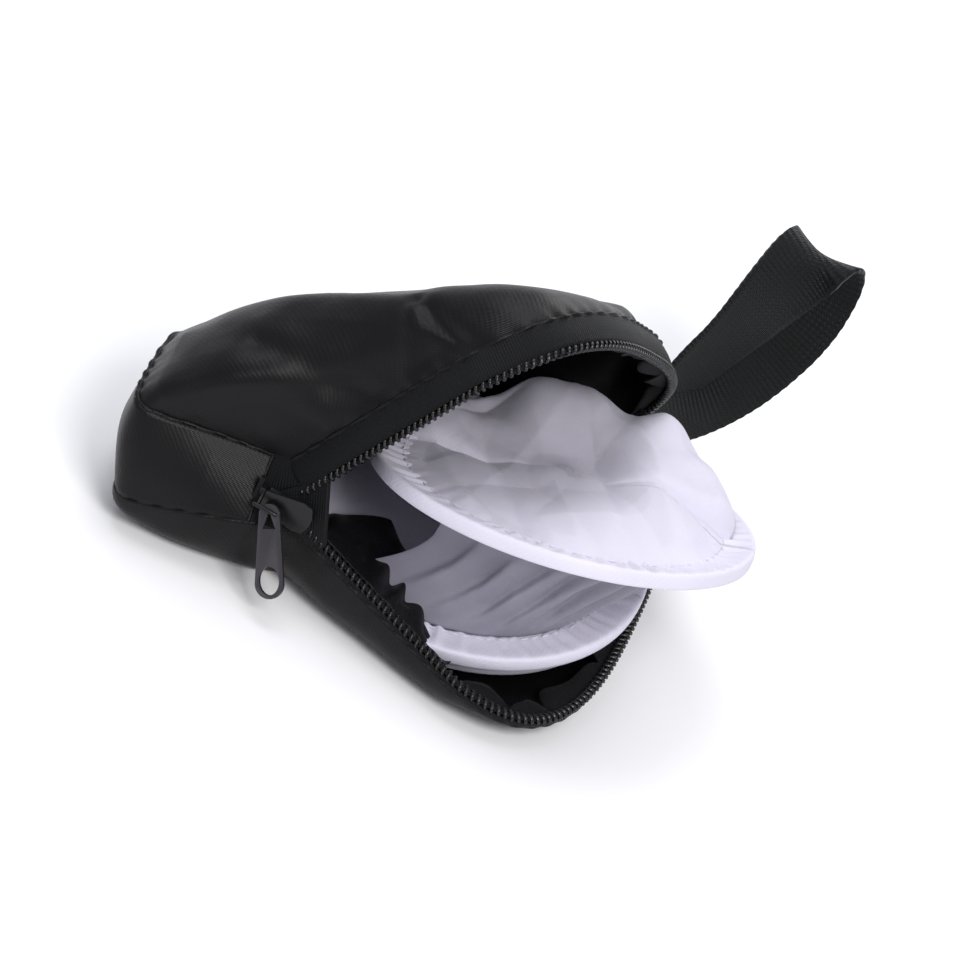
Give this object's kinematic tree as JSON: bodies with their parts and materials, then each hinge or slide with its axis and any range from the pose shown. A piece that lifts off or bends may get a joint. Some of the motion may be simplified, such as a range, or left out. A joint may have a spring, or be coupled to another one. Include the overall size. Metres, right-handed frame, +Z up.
{
  "type": "collapsible light disc in zipped pouch",
  "caption": "White diffusion disc on a sprung steel hoop, twisted into stacked loops and standing half out of its open black zipped carry pouch with a wrist strap.",
  "frame": {"origin": "under the middle of the part's box, on the surface that the pouch lies on", "axes": "+X along the zip's near side from the slider to the nose, +Y from the near side to the strap, +Z up"},
  "size_m": [0.1477, 0.1617, 0.0928],
  "materials": {
    "pouch_fabric": "coated nylon, fine weave, slight sheen",
    "zip_tape": "woven polyester tape",
    "zip_coil": "nylon coil",
    "seam_binding": "black seam allowance and bar tacks",
    "webbing": "ribbed nylon webbing with satin sheen",
    "slider_metal": "black lacquered zinc casting, worn at the edges",
    "pull_metal": "grey lacquered zinc, satin",
    "spring_steel": "blued flat spring band",
    "rim_binding": "white satin binding tape",
    "diffuser_cloth": "white translucent diffusion nylon, creased"
  },
  "bodies": {
    "pouch": {"bottom_panel": "pouch_fabric", "end_gusset": "pouch_fabric", "top_panel_rear": "pouch_fabric", "near_end_patch": "zip_tape", "bottom_stop": "zip_coil", "strap_anchor": "seam_binding"},
    "lid": {"top_panel_front": "pouch_fabric", "upper_zip_tape": "zip_tape", "upper_zip_coil": "zip_coil", "upper_seam_allowance": "seam_binding", "upper_top_stop": "zip_coil"},
    "lower_lip": {"lower_zip_tape": "zip_tape", "lower_zip_coil": "zip_coil", "lower_seam_allowance": "seam_binding", "lower_top_stop": "zip_coil"},
    "slider": {"slider_body": "slider_metal", "slider_bail": "slider_metal"},
    "pull_tab": {"pull_tab": "pull_metal"},
    "strap": {"wrist_strap": "webbing", "strap_bartack": "seam_binding"},
    "loop_stack": {"base_hoop": "spring_steel", "base_binding": "rim_binding", "base_diffuser": "diffuser_cloth", "hoop_ferrule": "spring_steel", "lower_hoop": "spring_steel", "lower_binding": "rim_binding", "lower_diffuser": "diffuser_cloth"},
    "loop_upper": {"upper_hoop": "spring_steel", "upper_binding": "rim_binding", "upper_diffuser": "diffuser_cloth", "diffuser_fold": "diffuser_cloth"}
  },
  "joints": [
    {"name": "lid_hinge", "type": "hinge", "parent": "pouch", "child": "lid", "pos_m": [-0.03022, -0.0652, 0.024], "axis": [0.5545, 0.8322, 0], "range_deg": [0, 69]},
    {"name": "lip_hinge", "type": "hinge", "parent": "pouch", "child": "lower_lip", "pos_m": [-0.03022, -0.0652, 0.024], "axis": [0.5545, 0.8322, 0], "range_deg": [-12.8, 0.2]},
    {"name": "stack_settle", "type": "hinge", "parent": "pouch", "child": "loop_stack", "pos_m": [0.00798, -0.0247, 0.0136], "axis": [-0.7062, 0.708, 0], "range_deg": [-1.2, 5.75]},
    {"name": "loop_fold", "type": "hinge", "parent": "loop_stack", "child": "loop_upper", "pos_m": [0.00586, 0.0217, 0.05174], "axis": [0.6892, 0.1375, -0.7114], "range_deg": [-0.2, 33.13], "deforming": ["diffuser_fold"]},
    {"name": "slider_travel", "type": "slide", "parent": "pouch", "child": "slider", "axis": [1, 0, 0], "range_m": [0, 0.0012]},
    {"name": "pull_tab_hinge", "type": "hinge", "parent": "slider", "child": "pull_tab", "pos_m": [-0.03482, -0.0694, 0.024], "axis": [0.8508, 0, 0.5255], "range_deg": [-64, 0]},
    {"name": "strap_swing", "type": "hinge", "parent": "pouch", "child": "strap", "pos_m": [0.03596, 0.03412, 0.023], "axis": [0, 0, 1], "range_deg": [-30, 30]}
  ],
  "couplings": [
    {"joint": "lip_hinge", "follows": "lid_hinge", "ratio": -0.18261},
    {"joint": "stack_settle", "follows": "lid_hinge", "ratio": 0.08195},
    {"joint": "loop_fold", "follows": "lid_hinge", "ratio": 0.4773}
  ]
}
